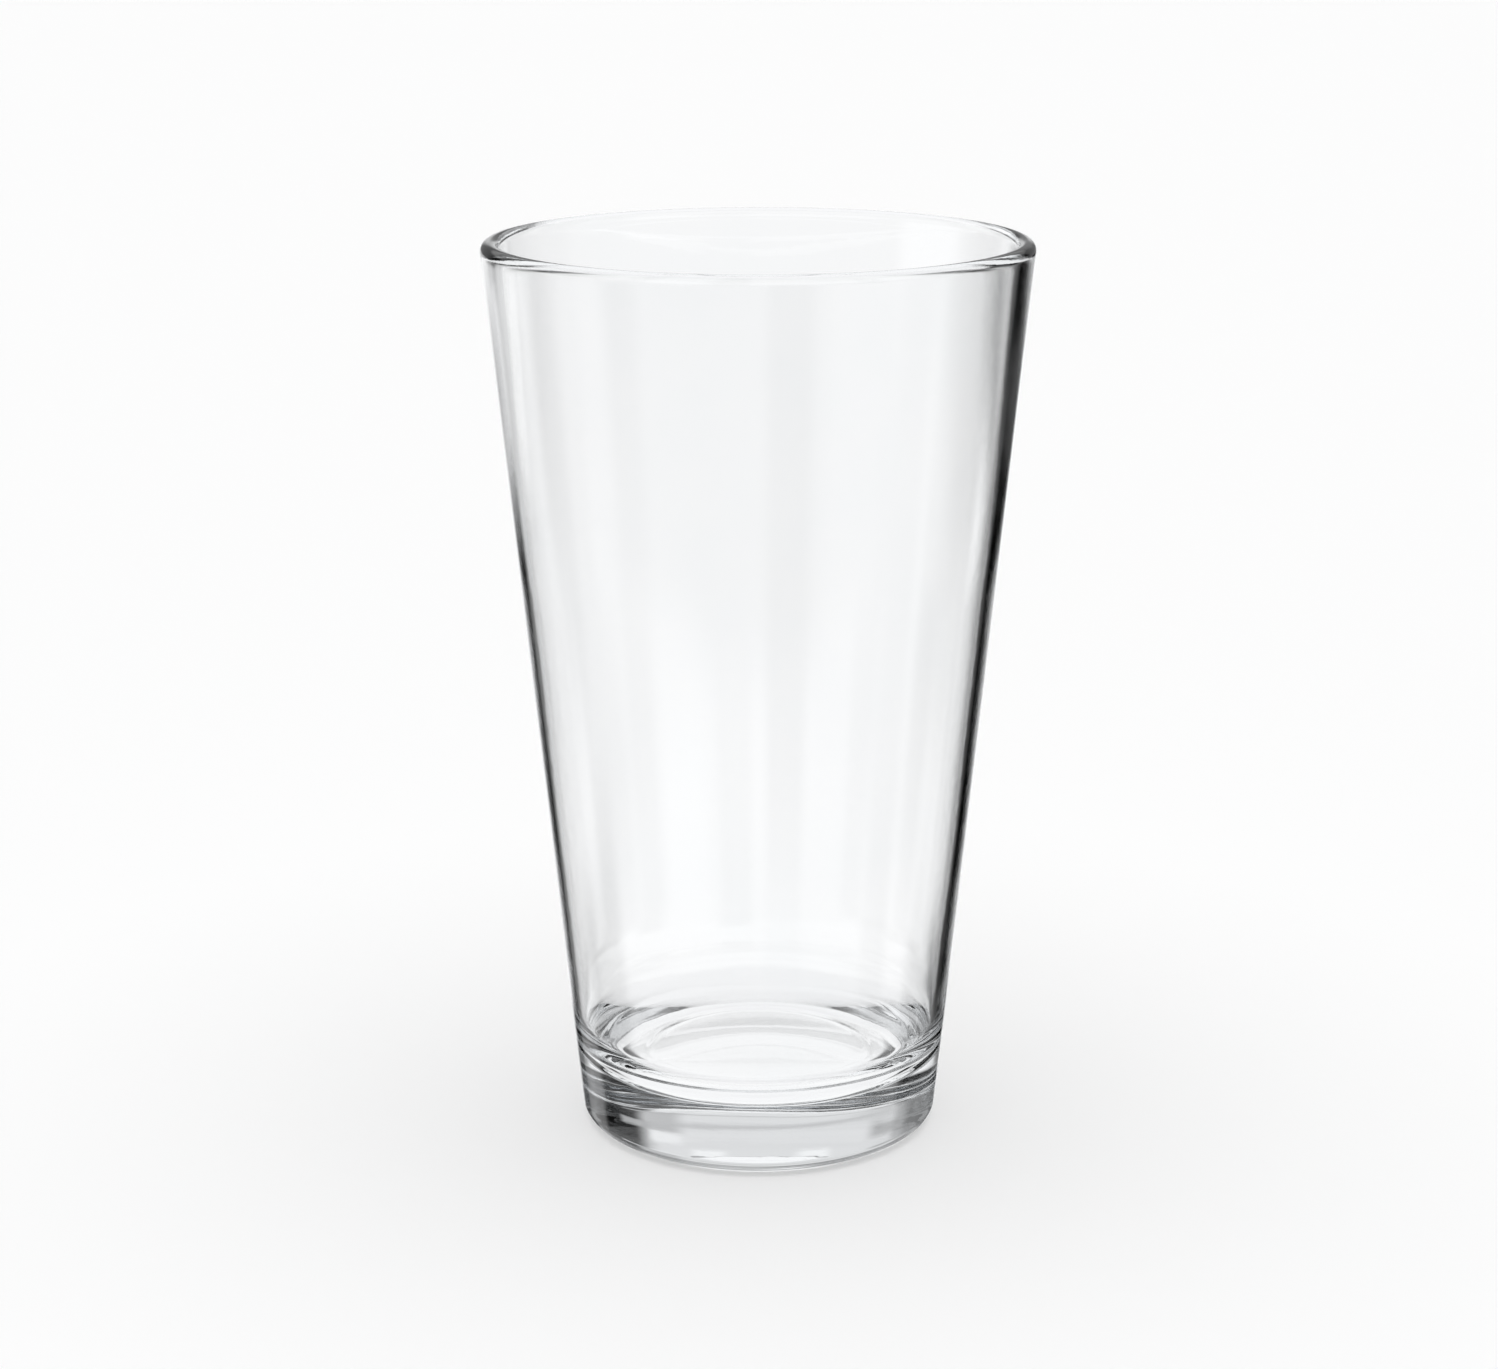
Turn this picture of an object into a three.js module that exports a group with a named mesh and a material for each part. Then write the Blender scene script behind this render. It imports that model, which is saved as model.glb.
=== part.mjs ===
// A conical mixing glass: the glass half of a two-piece cocktail shaker, also used for stirring drinks.
// It is one piece of pressed, tempered soda-lime glass, so the whole object is a single solid of revolution.
// Millimetres, +Z up. The origin is the centre of the base, on the surface that the glass stands on.
import * as THREE from "three";

// Outside
const HEIGHT = 149.2; // foot to lip
const RIM_DIAMETER = 88.9; // across the lip at its widest
const LIP_RADIUS = 1.6; // the lip is a fire-polished bead, fully round
const OUTER_TAPER = THREE.MathUtils.degToRad(5.6); // outer wall from the vertical
const HEEL_RADIUS = 3.0; // round edge between the wall and the underside

// Inside
const WALL = 2.0; // thickness measured level, the same from the floor up to where the bead begins
const BEAD_DROP = 55.0; // the wall thickens gently to the lip's bead over this much height
const FLOOR_HEIGHT = 10.5; // top of the solid base
const FLOOR_FILLET = 10.0; // round corner between the inner wall and the floor

// Underside
const PUNT_RADIUS = 24.0; // the hollow dome inside the bearing ring
const PUNT_DEPTH = 0.4;

// Facets
const TURN_SEGMENTS = 80;
const LIP_SEGMENTS = 10;
const HEEL_SEGMENTS = 5;
const FILLET_SEGMENTS = 8;
const PUNT_SEGMENTS = 4;
const BEAD_SEGMENTS = 8;
const WALL_RINGS = 4; // each wall is cut into this many bands, so that no facet is a long sliver

// The circle that rounds the lip, which both walls meet at a tangent.
const lip = new THREE.Vector2(RIM_DIAMETER / 2 - LIP_RADIUS, HEIGHT - LIP_RADIUS);

// The outer wall is a straight cone.
const outerRadius = (z) =>
  lip.x - (lip.y - z) * Math.tan(OUTER_TAPER) + LIP_RADIUS / Math.cos(OUTER_TAPER);

// The inner wall runs parallel to it, and eases inwards towards the top until it meets the lip at a tangent.
function innerRadius(z) {
  const beadThickness = (2 * LIP_RADIUS) / Math.cos(OUTER_TAPER);
  const rise = THREE.MathUtils.smoothstep(z, lip.y - BEAD_DROP, lip.y);
  return outerRadius(z) - THREE.MathUtils.lerp(WALL, beadThickness, rise);
}

// Points along a circular arc, both ends included. Angles are from the outward radius, towards +Z.
function arc(centre, radius, from, to, segments) {
  return Array.from({ length: segments + 1 }, (_, i) => {
    const angle = from + ((to - from) * i) / segments;
    return new THREE.Vector2(
      centre.x + radius * Math.cos(angle),
      centre.y + radius * Math.sin(angle),
    );
  });
}

// The points that split a straight run into equal bands, ends left out.
function between(start, end, bands) {
  return Array.from({ length: bands - 1 }, (_, i) =>
    start.clone().lerp(end, (i + 1) / bands),
  );
}

// Half of the glass's section, from the axis under the base, out and up to the lip, and back down to the
// axis inside.
function section() {
  // A spherical cap hollows the underside: its sphere passes through the punt's edge and its crown.
  const puntSphere = (PUNT_RADIUS ** 2 + PUNT_DEPTH ** 2) / (2 * PUNT_DEPTH);
  const puntHalfAngle = Math.asin(PUNT_RADIUS / puntSphere);
  const punt = arc(
    new THREE.Vector2(0, PUNT_DEPTH - puntSphere),
    puntSphere,
    Math.PI / 2,
    Math.PI / 2 - puntHalfAngle,
    PUNT_SEGMENTS,
  );

  const heelCentre = new THREE.Vector2(
    outerRadius(HEEL_RADIUS) - HEEL_RADIUS / Math.cos(OUTER_TAPER),
    HEEL_RADIUS,
  );
  const heel = arc(heelCentre, HEEL_RADIUS, -Math.PI / 2, -OUTER_TAPER, HEEL_SEGMENTS);

  // The lip turns in two quarters, so that its widest ring and its top ring are exact.
  const lipArc = [
    ...arc(lip, LIP_RADIUS, -OUTER_TAPER, 0, 1),
    ...arc(lip, LIP_RADIUS, 0, Math.PI / 2, LIP_SEGMENTS / 2).slice(1),
    ...arc(lip, LIP_RADIUS, Math.PI / 2, Math.PI - OUTER_TAPER, LIP_SEGMENTS / 2).slice(1),
  ];

  // Under the lip, the inside eases back to the plain wall.
  const bead = Array.from({ length: BEAD_SEGMENTS }, (_, i) => {
    const z = lip.y - (BEAD_DROP * (i + 1)) / BEAD_SEGMENTS;
    return new THREE.Vector2(innerRadius(z), z);
  });

  const filletCentre = new THREE.Vector2(
    innerRadius(FLOOR_HEIGHT + FLOOR_FILLET) - FLOOR_FILLET / Math.cos(OUTER_TAPER),
    FLOOR_HEIGHT + FLOOR_FILLET,
  );
  const fillet = arc(filletCentre, FLOOR_FILLET, -OUTER_TAPER, -Math.PI / 2, FILLET_SEGMENTS);

  return [
    ...punt,
    ...heel,
    ...between(heel.at(-1), lipArc[0], WALL_RINGS),
    ...lipArc,
    ...bead,
    ...between(bead.at(-1), fillet[0], WALL_RINGS),
    ...fillet,
    new THREE.Vector2(0, FLOOR_HEIGHT),
  ];
}

// The revolved section as a closed body. LatheGeometry turns about +Y, so it is stood up on +Z.
function glassGeometry() {
  const points = section();
  points[0].x = 0; // the arc's first point lies on the axis exactly
  return new THREE.LatheGeometry(points, TURN_SEGMENTS).rotateX(Math.PI / 2);
}

const clearGlass = new THREE.MeshStandardMaterial({
  color: 0xf4f7f8,
  roughness: 0.03,
  metalness: 0,
  transparent: true,
  opacity: 0.35,
});

const glassBody = new THREE.Mesh(glassGeometry(), clearGlass);
glassBody.name = "glass_body";

const mixingGlass = new THREE.Group();
mixingGlass.add(glassBody);

export default mixingGlass;
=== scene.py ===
import math

import bmesh
import bpy
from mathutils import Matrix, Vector, noise


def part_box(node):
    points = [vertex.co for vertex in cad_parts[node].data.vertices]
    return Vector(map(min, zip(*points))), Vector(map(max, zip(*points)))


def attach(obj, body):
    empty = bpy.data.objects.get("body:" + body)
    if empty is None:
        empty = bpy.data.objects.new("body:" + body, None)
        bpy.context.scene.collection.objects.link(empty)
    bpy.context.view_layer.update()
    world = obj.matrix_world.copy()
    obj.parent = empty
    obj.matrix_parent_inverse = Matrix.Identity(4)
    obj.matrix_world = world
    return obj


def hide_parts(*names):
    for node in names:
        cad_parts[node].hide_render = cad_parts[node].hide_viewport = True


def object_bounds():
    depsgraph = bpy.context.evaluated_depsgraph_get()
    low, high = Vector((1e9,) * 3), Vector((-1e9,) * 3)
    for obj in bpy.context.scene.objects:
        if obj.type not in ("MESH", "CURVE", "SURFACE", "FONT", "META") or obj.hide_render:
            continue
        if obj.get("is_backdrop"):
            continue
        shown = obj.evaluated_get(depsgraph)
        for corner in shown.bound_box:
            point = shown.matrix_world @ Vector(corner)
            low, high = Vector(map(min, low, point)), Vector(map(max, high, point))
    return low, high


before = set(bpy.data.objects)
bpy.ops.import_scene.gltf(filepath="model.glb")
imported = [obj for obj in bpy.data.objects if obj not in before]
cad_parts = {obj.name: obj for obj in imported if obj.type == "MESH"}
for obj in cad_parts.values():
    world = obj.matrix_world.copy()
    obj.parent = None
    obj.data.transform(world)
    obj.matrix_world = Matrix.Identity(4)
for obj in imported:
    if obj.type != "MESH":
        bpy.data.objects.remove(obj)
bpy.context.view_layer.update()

MM = 0.001

# ---------------------------------------------------------------- the glass's own shape, in metres
glass_low, glass_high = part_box("glass_body")
HEIGHT = glass_high.z - glass_low.z
RIM_RADIUS = (glass_high.x - glass_low.x) / 2
LIP_RADIUS = 1.6 * MM
OUTER_TAPER = math.radians(5.6)
HEEL_RADIUS = 3.0 * MM
WALL = 2.0 * MM
BEAD_DROP = 55.0 * MM
FLOOR_HEIGHT = 10.5 * MM
FLOOR_FILLET = 10.0 * MM
PUNT_RADIUS = 24.0 * MM
PUNT_DEPTH = 0.4 * MM
PUNT_BLEND = 0.04 * MM  # how far the hollow's edge is eased where it meets the foot ring
FOOT_FLAT_FROM = PUNT_RADIUS + 3.0 * MM  # outside this the foot ring is truly flat
FOOT_EASED_FROM = PUNT_RADIUS + 0.5 * MM
GROOVE_RADIUS = 18.9 * MM  # the mark of the plunger's edge, a shallow ring in the floor
GROOVE_WIDTH = 1.8 * MM
GROOVE_DEPTH = 0.10 * MM

# The marks that pressing and fire-polishing leave: a slow waviness on both walls, and flatter, closer
# ripples low on the outside, where the gob first chilled against the mould.
WAVE_HEIGHT = 0.030 * MM
WAVE_LENGTH = 26 * MM
RIPPLE_HEIGHT = 0.055 * MM
RIPPLE_LENGTH = 4.5 * MM
RIPPLE_STRETCH = 5.0  # how much longer a ripple is around the glass than up it
RIPPLE_TOP = 46 * MM
PLAIN_BAND = 7 * MM  # the marks fade out over this much height at each end of a wall
WALL_SHIFT = 0.3  # how far apart in the noise the two walls' waves are taken, so that they differ

TURN_SEGMENTS = 256
HEEL_SEGMENTS = 16
LIP_SEGMENTS = 32
FILLET_SEGMENTS = 20
WALL_STEP = 1.0 * MM
FOOT_STEP = 0.6 * MM
FLOOR_STEP = 0.3 * MM

LIP = (RIM_RADIUS - LIP_RADIUS, HEIGHT - LIP_RADIUS)


def smooth(value, low, high):
    """0 at low, 1 at high, and an eased step between them; high may be the lesser of the two."""
    u = min(max((value - low) / (high - low), 0.0), 1.0)
    return u * u * (3 - 2 * u)


def outer_radius(z):
    """The outer cone, which the lip's circle touches."""
    return LIP[0] - (LIP[1] - z) * math.tan(OUTER_TAPER) + LIP_RADIUS / math.cos(OUTER_TAPER)


def inner_radius(z):
    """The inner wall: parallel to the outer one, and thickening towards the lip."""
    bead = 2 * LIP_RADIUS / math.cos(OUTER_TAPER)
    rise = smooth(z, LIP[1] - BEAD_DROP, LIP[1])
    return outer_radius(z) - (WALL + (bead - WALL) * rise)


def arc(centre, radius, start, end, count):
    """Points around centre from angle start to angle end, both ends included."""
    return [
        (
            centre[0] + radius * math.cos(start + (end - start) * i / count),
            centre[1] + radius * math.sin(start + (end - start) * i / count),
        )
        for i in range(count + 1)
    ]


def run(start, end, step):
    """Points between start and end, ends left out, about step apart."""
    count = max(1, round(math.dist(start, end) / step))
    return [
        (start[0] + (end[0] - start[0]) * i / count, start[1] + (end[1] - start[1]) * i / count)
        for i in range(1, count)
    ]


def foot_height(r):
    """The underside: a spherical hollow that eases into the flat ring around it."""
    sphere = (PUNT_RADIUS**2 + PUNT_DEPTH**2) / (2 * PUNT_DEPTH)
    cap = math.sqrt(sphere**2 - r**2) + PUNT_DEPTH - sphere
    eased = (cap + math.hypot(cap, PUNT_BLEND)) / 2
    return eased * smooth(r, FOOT_FLAT_FROM, FOOT_EASED_FROM)


def floor_height(r):
    """The floor inside, flat but for the plunger's ring."""
    across = (r - GROOVE_RADIUS) / (GROOVE_WIDTH / 2)
    return FLOOR_HEIGHT - GROOVE_DEPTH * max(0.0, 1 - across**2) ** 2


# Which part of the outline a point is on: only the two walls carry marks.
PLAIN, OUTER_WALL, INNER_WALL = 0, 1, 2


def section():
    """The glass's outline from the middle of the foot, round the lip, to the middle of the floor.

    Each point is a radius, a height and the part that it is on.
    """
    heel_centre = (outer_radius(HEEL_RADIUS) - HEEL_RADIUS / math.cos(OUTER_TAPER), HEEL_RADIUS)
    heel = arc(heel_centre, HEEL_RADIUS, -math.pi / 2, -OUTER_TAPER, HEEL_SEGMENTS)
    lip = arc(LIP, LIP_RADIUS, -OUTER_TAPER, math.pi - OUTER_TAPER, LIP_SEGMENTS)
    turn_in = FLOOR_HEIGHT + FLOOR_FILLET
    fillet_centre = (inner_radius(turn_in) - FLOOR_FILLET / math.cos(OUTER_TAPER), turn_in)
    fillet = arc(fillet_centre, FLOOR_FILLET, -OUTER_TAPER, -math.pi / 2, FILLET_SEGMENTS)
    inner_wall = [(inner_radius(z), z) for _, z in run(lip[-1], fillet[0], WALL_STEP)]
    crown = (0, FLOOR_HEIGHT)
    foot = [(r, foot_height(r)) for r, _ in [crown, *run(crown, heel[0], FOOT_STEP)]]
    floor = [(r, floor_height(r)) for r, _ in run(fillet[-1], crown, FLOOR_STEP)]
    return (
        [(*p, PLAIN) for p in foot + heel]
        + [(*p, OUTER_WALL) for p in run(heel[-1], lip[0], WALL_STEP)]
        + [(*p, PLAIN) for p in lip]
        + [(*p, INNER_WALL) for p in inner_wall]
        + [(*p, PLAIN) for p in fillet + floor + [crown]]
    )


def mark(side, r, a, z):
    """How far the surface stands off its true cone at angle a and height z."""
    if side == PLAIN:
        return 0.0
    low = HEEL_RADIUS if side == OUTER_WALL else FLOOR_HEIGHT + FLOOR_FILLET
    fade = smooth(z, low, low + PLAIN_BAND) * smooth(z, LIP[1], LIP[1] - PLAIN_BAND)
    x, y = r * math.cos(a), r * math.sin(a)
    wave = noise.noise(Vector((x, y, z + WALL_SHIFT * side)) / WAVE_LENGTH) * WAVE_HEIGHT
    ripple = 0.0
    if side == OUTER_WALL:
        around = RIPPLE_LENGTH * RIPPLE_STRETCH
        spot = Vector((x / around, y / around, z / RIPPLE_LENGTH))
        ripple = noise.noise(spot) * RIPPLE_HEIGHT * smooth(z, RIPPLE_TOP, HEEL_RADIUS)
    return fade * (wave + ripple)


def lathe(name, points):
    """Turn the outline about the axis into one closed mesh."""
    mesh = bpy.data.meshes.new(name)
    bm = bmesh.new()
    rings = []
    for r, z, side in points[1:-1]:
        ring = []
        for i in range(TURN_SEGMENTS):
            a = 2 * math.pi * i / TURN_SEGMENTS
            rr = r + mark(side, r, a, z)
            ring.append(bm.verts.new((rr * math.cos(a), rr * math.sin(a), z)))
        rings.append(ring)
    first = bm.verts.new((0, 0, points[0][1]))
    last = bm.verts.new((0, 0, points[-1][1]))
    for i in range(TURN_SEGMENTS):
        j = (i + 1) % TURN_SEGMENTS
        bm.faces.new((first, rings[0][j], rings[0][i]))
        for a, b in zip(rings, rings[1:]):
            bm.faces.new((a[i], a[j], b[j], b[i]))
        bm.faces.new((rings[-1][i], rings[-1][j], last))
    for face in bm.faces:
        face.smooth = True
    bm.to_mesh(mesh)
    bm.free()
    piece = bpy.data.objects.new(name, mesh)
    bpy.context.scene.collection.objects.link(piece)
    return piece


glass = lathe("pressed_glass", section())
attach(glass, "root")
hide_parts("glass_body")

# ---------------------------------------------------------------- glass material
# Soda-lime glass: clear, faintly blue-green through its thick parts, polished by fire everywhere but on
# the ring that it stands on, which is scuffed.
GLASS_INDEX = 1.52
TINT = (0.60, 0.74, 0.86)
TINT_DENSITY = 1.2  # per metre
POLISHED, HANDLED, SCUFFED = 0.0, 0.010, 0.05
ORANGE_PEEL = 0.004 * MM
PEEL_SCALE = 420.0  # noise cells per metre
FILM_SCALE = 38.0
SCUFF_SCALE = 1600.0
SCUFF_HEIGHT = 0.25 * MM  # only what touches the bar is scuffed

material = bpy.data.materials.new("clear_glass")
material.use_nodes = True
tree = material.node_tree
shader = tree.nodes["Principled BSDF"]
shader.inputs["IOR"].default_value = GLASS_INDEX
shader.inputs["Transmission Weight"].default_value = 1.0


def glass_node(kind, **values):
    """A node in the glass material, with each input set to a number or fed from a socket."""
    node = tree.nodes.new(kind)
    for key, value in values.items():
        socket = node.inputs[key.replace("_", " ")]
        if isinstance(value, bpy.types.NodeSocket):
            tree.links.new(value, socket)
        else:
            socket.default_value = value
    return node


def glass_range(value, low, high, at_low, at_high):
    """A smooth step from at_low to at_high as value goes from low to high."""
    node = glass_node("ShaderNodeMapRange", Value=value)
    node.interpolation_type = "SMOOTHSTEP"
    for key, number in (("From Min", low), ("From Max", high), ("To Min", at_low), ("To Max", at_high)):
        node.inputs[key].default_value = number
    return node.outputs["Result"]


def glass_math(operation, a, b):
    node = tree.nodes.new("ShaderNodeMath")
    node.operation = operation
    for socket, value in zip(node.inputs, (a, b)):
        if isinstance(value, bpy.types.NodeSocket):
            tree.links.new(value, socket)
        else:
            socket.default_value = value
    return node.outputs[0]


where = tree.nodes.new("ShaderNodeTexCoord").outputs["Object"]
height = glass_node("ShaderNodeSeparateXYZ", Vector=where).outputs["Z"]

# Handling leaves a barely duller film in cloudy patches, and standing on bars scuffs the foot.
cloud_noise = glass_node("ShaderNodeTexNoise", Vector=where, Scale=FILM_SCALE, Detail=3.0, Roughness=0.55)
cloud = cloud_noise.outputs[0]
film = glass_range(cloud, 0.45, 0.75, POLISHED, HANDLED)
grit_noise = glass_node("ShaderNodeTexNoise", Vector=where, Scale=SCUFF_SCALE, Detail=4.0, Roughness=0.7)
grit = grit_noise.outputs[0]
foot = glass_range(height, 0.0, SCUFF_HEIGHT, 1.0, 0.0)
scuff = glass_math("MULTIPLY", glass_range(grit, 0.50, 0.66, 0.0, SCUFFED), foot)
tree.links.new(glass_math("MAXIMUM", film, scuff), shader.inputs["Roughness"])

# The film also takes a hair of light, so the colour is not quite one flat value either.
CLEAN, FILMED = (1.0, 1.0, 1.0, 1), (0.985, 0.990, 0.992, 1)
wash = tree.nodes.new("ShaderNodeMix")
wash.data_type = "RGBA"
tree.links.new(glass_range(cloud, 0.40, 0.80, 0.0, 1.0), wash.inputs["Factor"])
wash.inputs[6].default_value = CLEAN
wash.inputs[7].default_value = FILMED
tree.links.new(wash.outputs[2], shader.inputs["Base Color"])

# The mould's texture, as a very fine unevenness.
peel_noise = glass_node("ShaderNodeTexNoise", Vector=where, Scale=PEEL_SCALE, Detail=1.5, Roughness=0.5)
peel = peel_noise.outputs[0]
bump = glass_node("ShaderNodeBump", Height=peel, Strength=1.0, Distance=ORANGE_PEEL)
tree.links.new(bump.outputs["Normal"], shader.inputs["Normal"])

absorption = tree.nodes.new("ShaderNodeVolumeAbsorption")
absorption.inputs["Color"].default_value = (*TINT, 1)
absorption.inputs["Density"].default_value = TINT_DENSITY
tree.links.new(absorption.outputs["Volume"], tree.nodes["Material Output"].inputs["Volume"])
glass.data.materials.append(material)

# ---------------------------------------------------------------- floor
# The glass neither refracts nor reflects the floor: what it shows instead is the world's own tones below
# the horizon, which keeps the base clear.
FLOOR_TONE = (0.93, 0.93, 0.93)
FLOOR_RADIUS = 4
FLOOR_DROP = 0.2 * MM  # the floor is just under the foot, so that the two surfaces never coincide
bpy.ops.mesh.primitive_circle_add(
    vertices=96, radius=FLOOR_RADIUS, fill_type="NGON", location=(0, 0, -FLOOR_DROP)
)
floor = bpy.context.active_object
floor.name = "floor"
paper = bpy.data.materials.new("floor")
paper.use_nodes = True
paper_shader = paper.node_tree.nodes["Principled BSDF"]
paper_shader.inputs["Base Color"].default_value = (*FLOOR_TONE, 1)
paper_shader.inputs["Roughness"].default_value = 0.9
paper_shader.inputs["Specular IOR Level"].default_value = 0.0
floor.data.materials.append(paper)
floor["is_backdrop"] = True
floor.visible_transmission = False
floor.visible_glossy = False

# ---------------------------------------------------------------- lights on the floor
LAMP_SPREAD = math.radians(80)


def overhead(name, strength, casts):
    """A wide lamp straight above, which the glass doesn't show."""
    light = bpy.data.lights.new(name, "SUN")
    light.energy = strength
    light.angle = LAMP_SPREAD
    light.use_shadow = casts
    lamp = bpy.data.objects.new(name, light)
    bpy.context.scene.collection.objects.link(lamp)
    lamp.visible_glossy = False
    lamp.visible_transmission = False
    return lamp


overhead("overhead_fill", 2.3, False)
overhead("overhead_key", 1.0, True)

# ---------------------------------------------------------------- world
world = bpy.data.worlds.new("studio")
world.use_nodes = True
bpy.context.scene.world = world
nodes = world.node_tree.nodes
links = world.node_tree.links


def math_node(operation, *inputs):
    node = nodes.new("ShaderNodeMath")
    node.operation = operation
    for socket, value in zip(node.inputs, inputs):
        if isinstance(value, (int, float)):
            socket.default_value = value
        else:
            links.new(value, socket)
    return node.outputs[0]


def ramp(value, low, high, at_low=0.0, at_high=1.0):
    """A smooth step from at_low to at_high as value goes from low to high."""
    node = nodes.new("ShaderNodeMapRange")
    node.interpolation_type = "SMOOTHSTEP"
    links.new(value, node.inputs["Value"])
    node.inputs["From Min"].default_value = low
    node.inputs["From Max"].default_value = high
    node.inputs["To Min"].default_value = at_low
    node.inputs["To Max"].default_value = at_high
    return node.outputs[0]


def mix(factor, a, b):
    node = nodes.new("ShaderNodeMix")
    node.data_type = "RGBA"
    links.new(factor, node.inputs["Factor"])
    for socket, value in ((node.inputs[6], a), (node.inputs[7], b)):
        if isinstance(value, tuple):
            socket.default_value = (*value, 1)
        else:
            links.new(value, socket)
    return node.outputs[2]


coordinates = nodes.new("ShaderNodeTexCoord")
parts = nodes.new("ShaderNodeSeparateXYZ")
links.new(coordinates.outputs["Generated"], parts.inputs[0])
direction_x, direction_y, direction_z = parts.outputs
elevation = math_node("MULTIPLY", math_node("ARCSINE", direction_z), 180 / math.pi)
azimuth = math_node("MULTIPLY", math_node("ARCTAN2", direction_x, direction_y), 180 / math.pi)


def patch(az, half_az, el_low, el_high, soft_az=4.0, soft_el=3.0):
    """1 inside a rectangle of directions, 0 outside, with soft edges. Azimuth 0 is behind the glass."""
    offset = math_node("SUBTRACT", azimuth, az)
    wrapped = math_node("WRAP", offset, 180.0, -180.0)
    across = ramp(math_node("ABSOLUTE", wrapped), half_az - soft_az, half_az + soft_az, 1.0, 0.0)
    above = ramp(elevation, el_low - soft_el, el_low + soft_el)
    below = ramp(elevation, el_high - soft_el, el_high + soft_el, 1.0, 0.0)
    return math_node("MULTIPLY", math_node("MULTIPLY", across, above), below)


def grey(value, blue=0.006):
    """A tone a little on the blue side, as the studio's daylight lamps are."""
    return (value * (1 - blue), value, value * (1 + blue))


# From the table up: the elevations, in degrees, between which each tone takes over.
TABLE_TONE = (0.945, 0.95, 0.96)
tone = mix(ramp(elevation, -36, -32), TABLE_TONE, grey(1.0))
for low, high, colour in (
    (-28, -25, grey(0.7)),
    (-5, -2, grey(0.25)),
    (6, 10, grey(0.25)),
    (13, 17, grey(0.45)),
    (36, 42, grey(0.05)),
):
    tone = mix(ramp(elevation, low, high), tone, colour)

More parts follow.
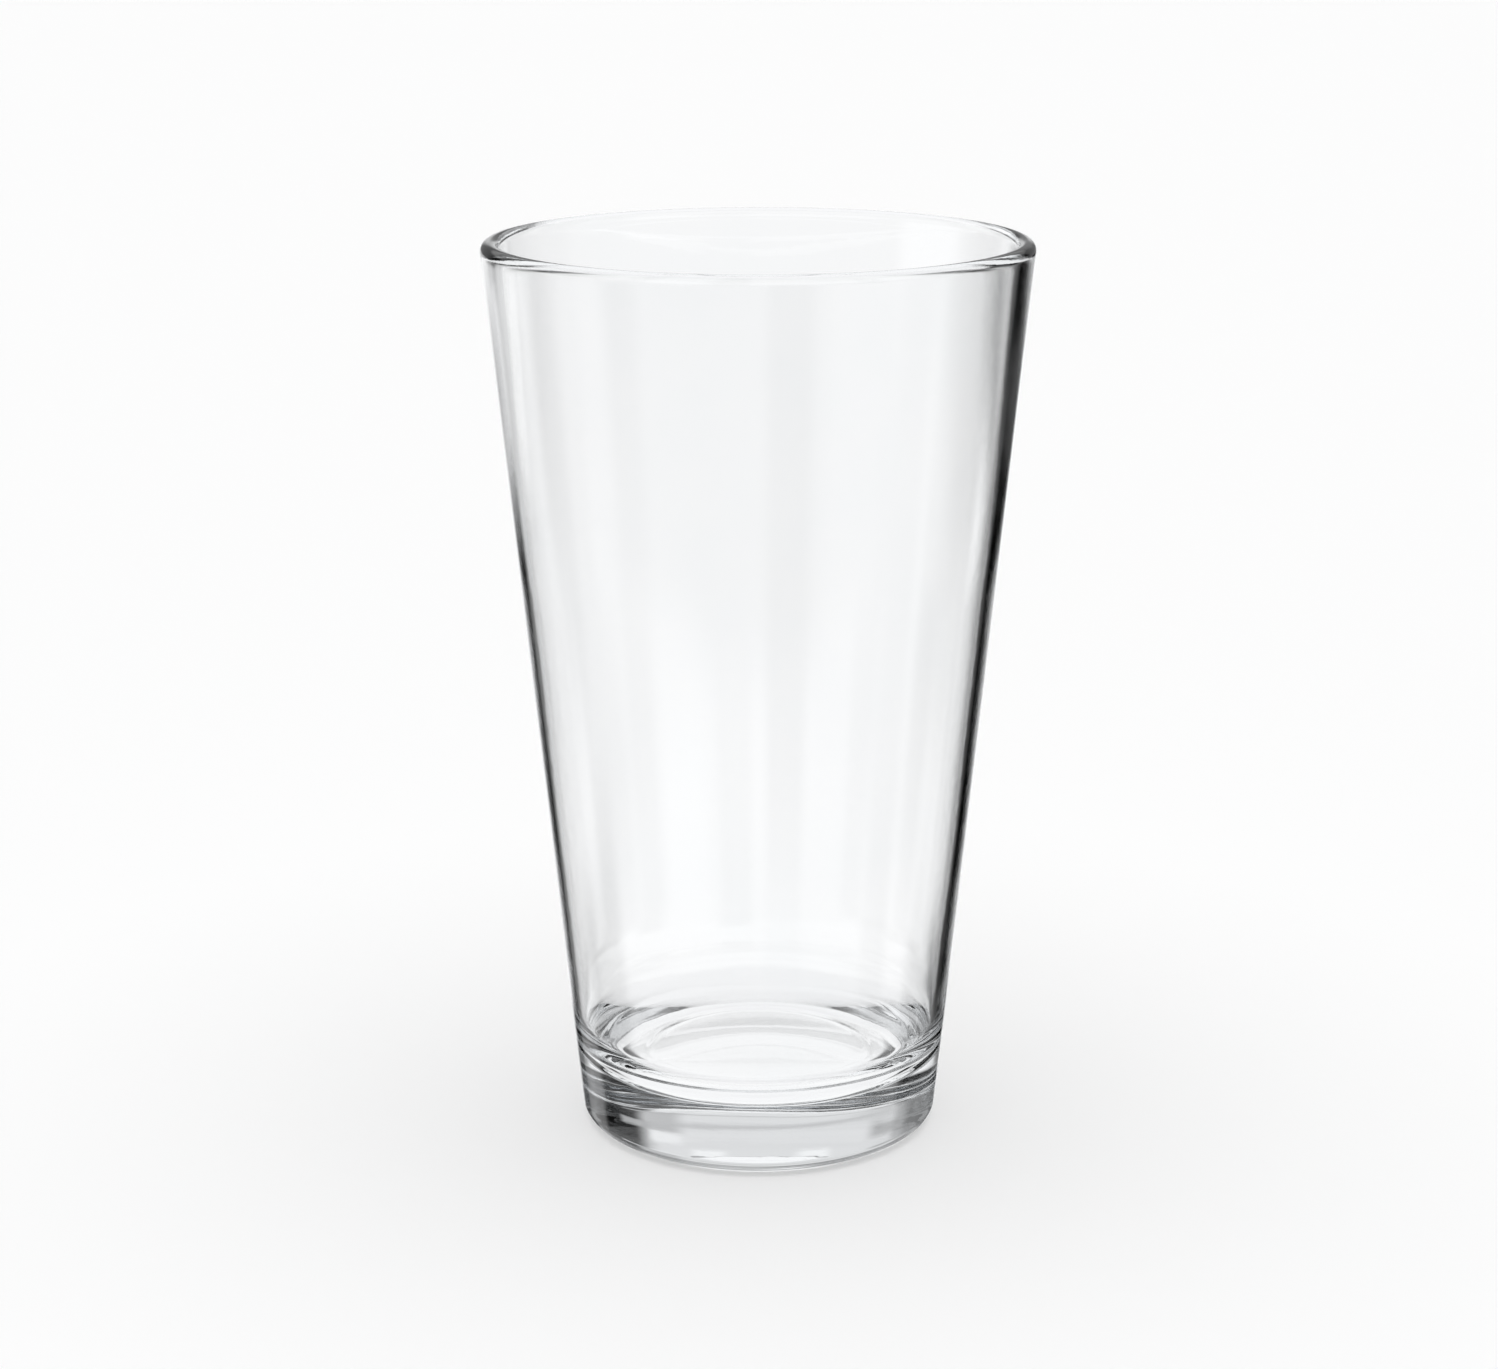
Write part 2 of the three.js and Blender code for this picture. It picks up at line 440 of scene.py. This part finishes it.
# The softboxes and black flags around the glass. Each is a direction, half a width, the elevations of
# its two ends, how soft its sides and ends are, and a tone.
for name, az, half_az, low, high, soft_az, soft_el, colour in (
    ("front_sky", 180, 62, 14, 38, 8, 4, grey(0.75)),
    ("top_light", 0, 50, 30, 80, 8, 4, grey(1.0)),
    ("right_level_flag", 58, 24, -6, 14, 5, 3, grey(0.03)),
    ("wall_front_left", 135, 14, -26, -4, 5, 3, grey(0.95)),
    ("front_left_flag", 108, 9, -30, -3, 4, 3, grey(0.25)),
    ("front_right_flag", 166, 10, -30, -3, 4, 3, grey(0.25)),
    ("back_left_flag", -118, 8, -20, 6, 4, 3, grey(0.25)),
    ("wall_left", -92, 18, -18, 9, 5, 3, grey(0.95)),
    ("window", 0, 15, -36, -4, 5, 3, grey(1.0)),
    ("window_top", 0, 11, -4, 9, 4, 3, grey(0.97)),
    ("left_glow", -20, 9, -10, -3, 4, 2, grey(1.0)),
    ("right_flag", 30, 14, -33, -4, 4, 2, grey(0.0)),
    ("left_flag", -27, 9, -33, -10, 4, 2, grey(0.02)),
    ("right_flag_gap", 43, 5, -24, -14, 3, 3, grey(0.3)),
    ("right_softbox", 54, 6, -25, -11, 3, 2, grey(1.05)),
    ("left_flag_gap", -38, 5, -26, -7, 3, 3, grey(0.6)),
    ("left_softbox", -54, 12, -26, -10, 4, 3, grey(1.2)),
    ("left_edge", -75, 8, -22, -6, 4, 2, grey(0.4)),
    ("right_edge", 78, 18, -24, -6, 4, 3, grey(0.22)),
    ("left_heel_flag", -75, 16, -31, -25, 4, 1.5, grey(0.05)),
    ("right_heel_flag", 54, 26, -31, -25, 4, 1.5, grey(0.1)),
    ("left_high_flag", -50, 14, -6, 15, 5, 3, grey(0.0)),
    ("high_back", -6, 34, 16, 33, 3, 2, grey(0.74)),
    ("high_back_band", -6, 34, 20.4, 21.8, 4, 0.8, grey(0.55)),
    ("left_spot", -13, 4, 26.6, 28.0, 2, 0.5, grey(0.92)),
    ("right_spot", 12, 4, 26.6, 28.0, 2, 0.5, grey(0.92)),
    ("high_left_dim", -37, 7, 22.4, 26, 3, 1, grey(0.4)),
    ("high_left_flag", -62, 16, 14, 34, 4, 3, grey(0.25)),
    ("high_right_dim", 25, 6, 15, 24.4, 3, 0.7, grey(0.5)),
    ("high_right_bar", 24, 5, 24.8, 26.2, 2, 0.6, grey(0.85)),
    ("high_right_flag", 58, 26, 4, 36, 3, 3, grey(0.0)),
    ("high_right_slot", 35, 6, 21.8, 24.2, 2, 0.6, grey(0.42)),
    ("middle_high", 8, 10, 6, 15, 4, 2, grey(0.4)),
):
    tone = mix(patch(az, half_az, low, high, soft_az, soft_el), tone, colour)

# The camera itself sees a plain pale backdrop above the floor's far edge.
BACKDROP_TONE = grey(0.97)
rays = nodes.new("ShaderNodeLightPath")
tone = mix(rays.outputs["Is Camera Ray"], tone, BACKDROP_TONE)
links.new(tone, nodes["Background"].inputs["Color"])
world.cycles_visibility.diffuse = False

BOUNCES = 32  # light crosses the base many times before it leaves
bpy.context.scene.cycles.max_bounces = BOUNCES
bpy.context.scene.cycles.transmission_bounces = BOUNCES
bpy.context.scene.cycles.glossy_bounces = BOUNCES

# ---------------------------------------------------------------- camera
LENS = 75.06889  # mm, on a sensor 36 mm wide
CAMERA_PLACE = (0, -0.50098, 0.21179)
CAMERA_PITCH = -0.2662  # radians from level
CAMERA_ROLL = 0.0017
CAMERA_YAW = 0.0027
cam_data = bpy.data.cameras.new("camera")
cam = bpy.data.objects.new("camera", cam_data)
bpy.context.scene.collection.objects.link(cam)
cam_data.sensor_width = 36
cam_data.lens = LENS
cam_data.clip_start = 0.01
cam.location = CAMERA_PLACE
cam.rotation_euler = (math.pi / 2 + CAMERA_PITCH, CAMERA_ROLL, CAMERA_YAW)
bpy.context.scene.camera = cam
bpy.context.scene.view_settings.view_transform = "Standard"

low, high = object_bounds()
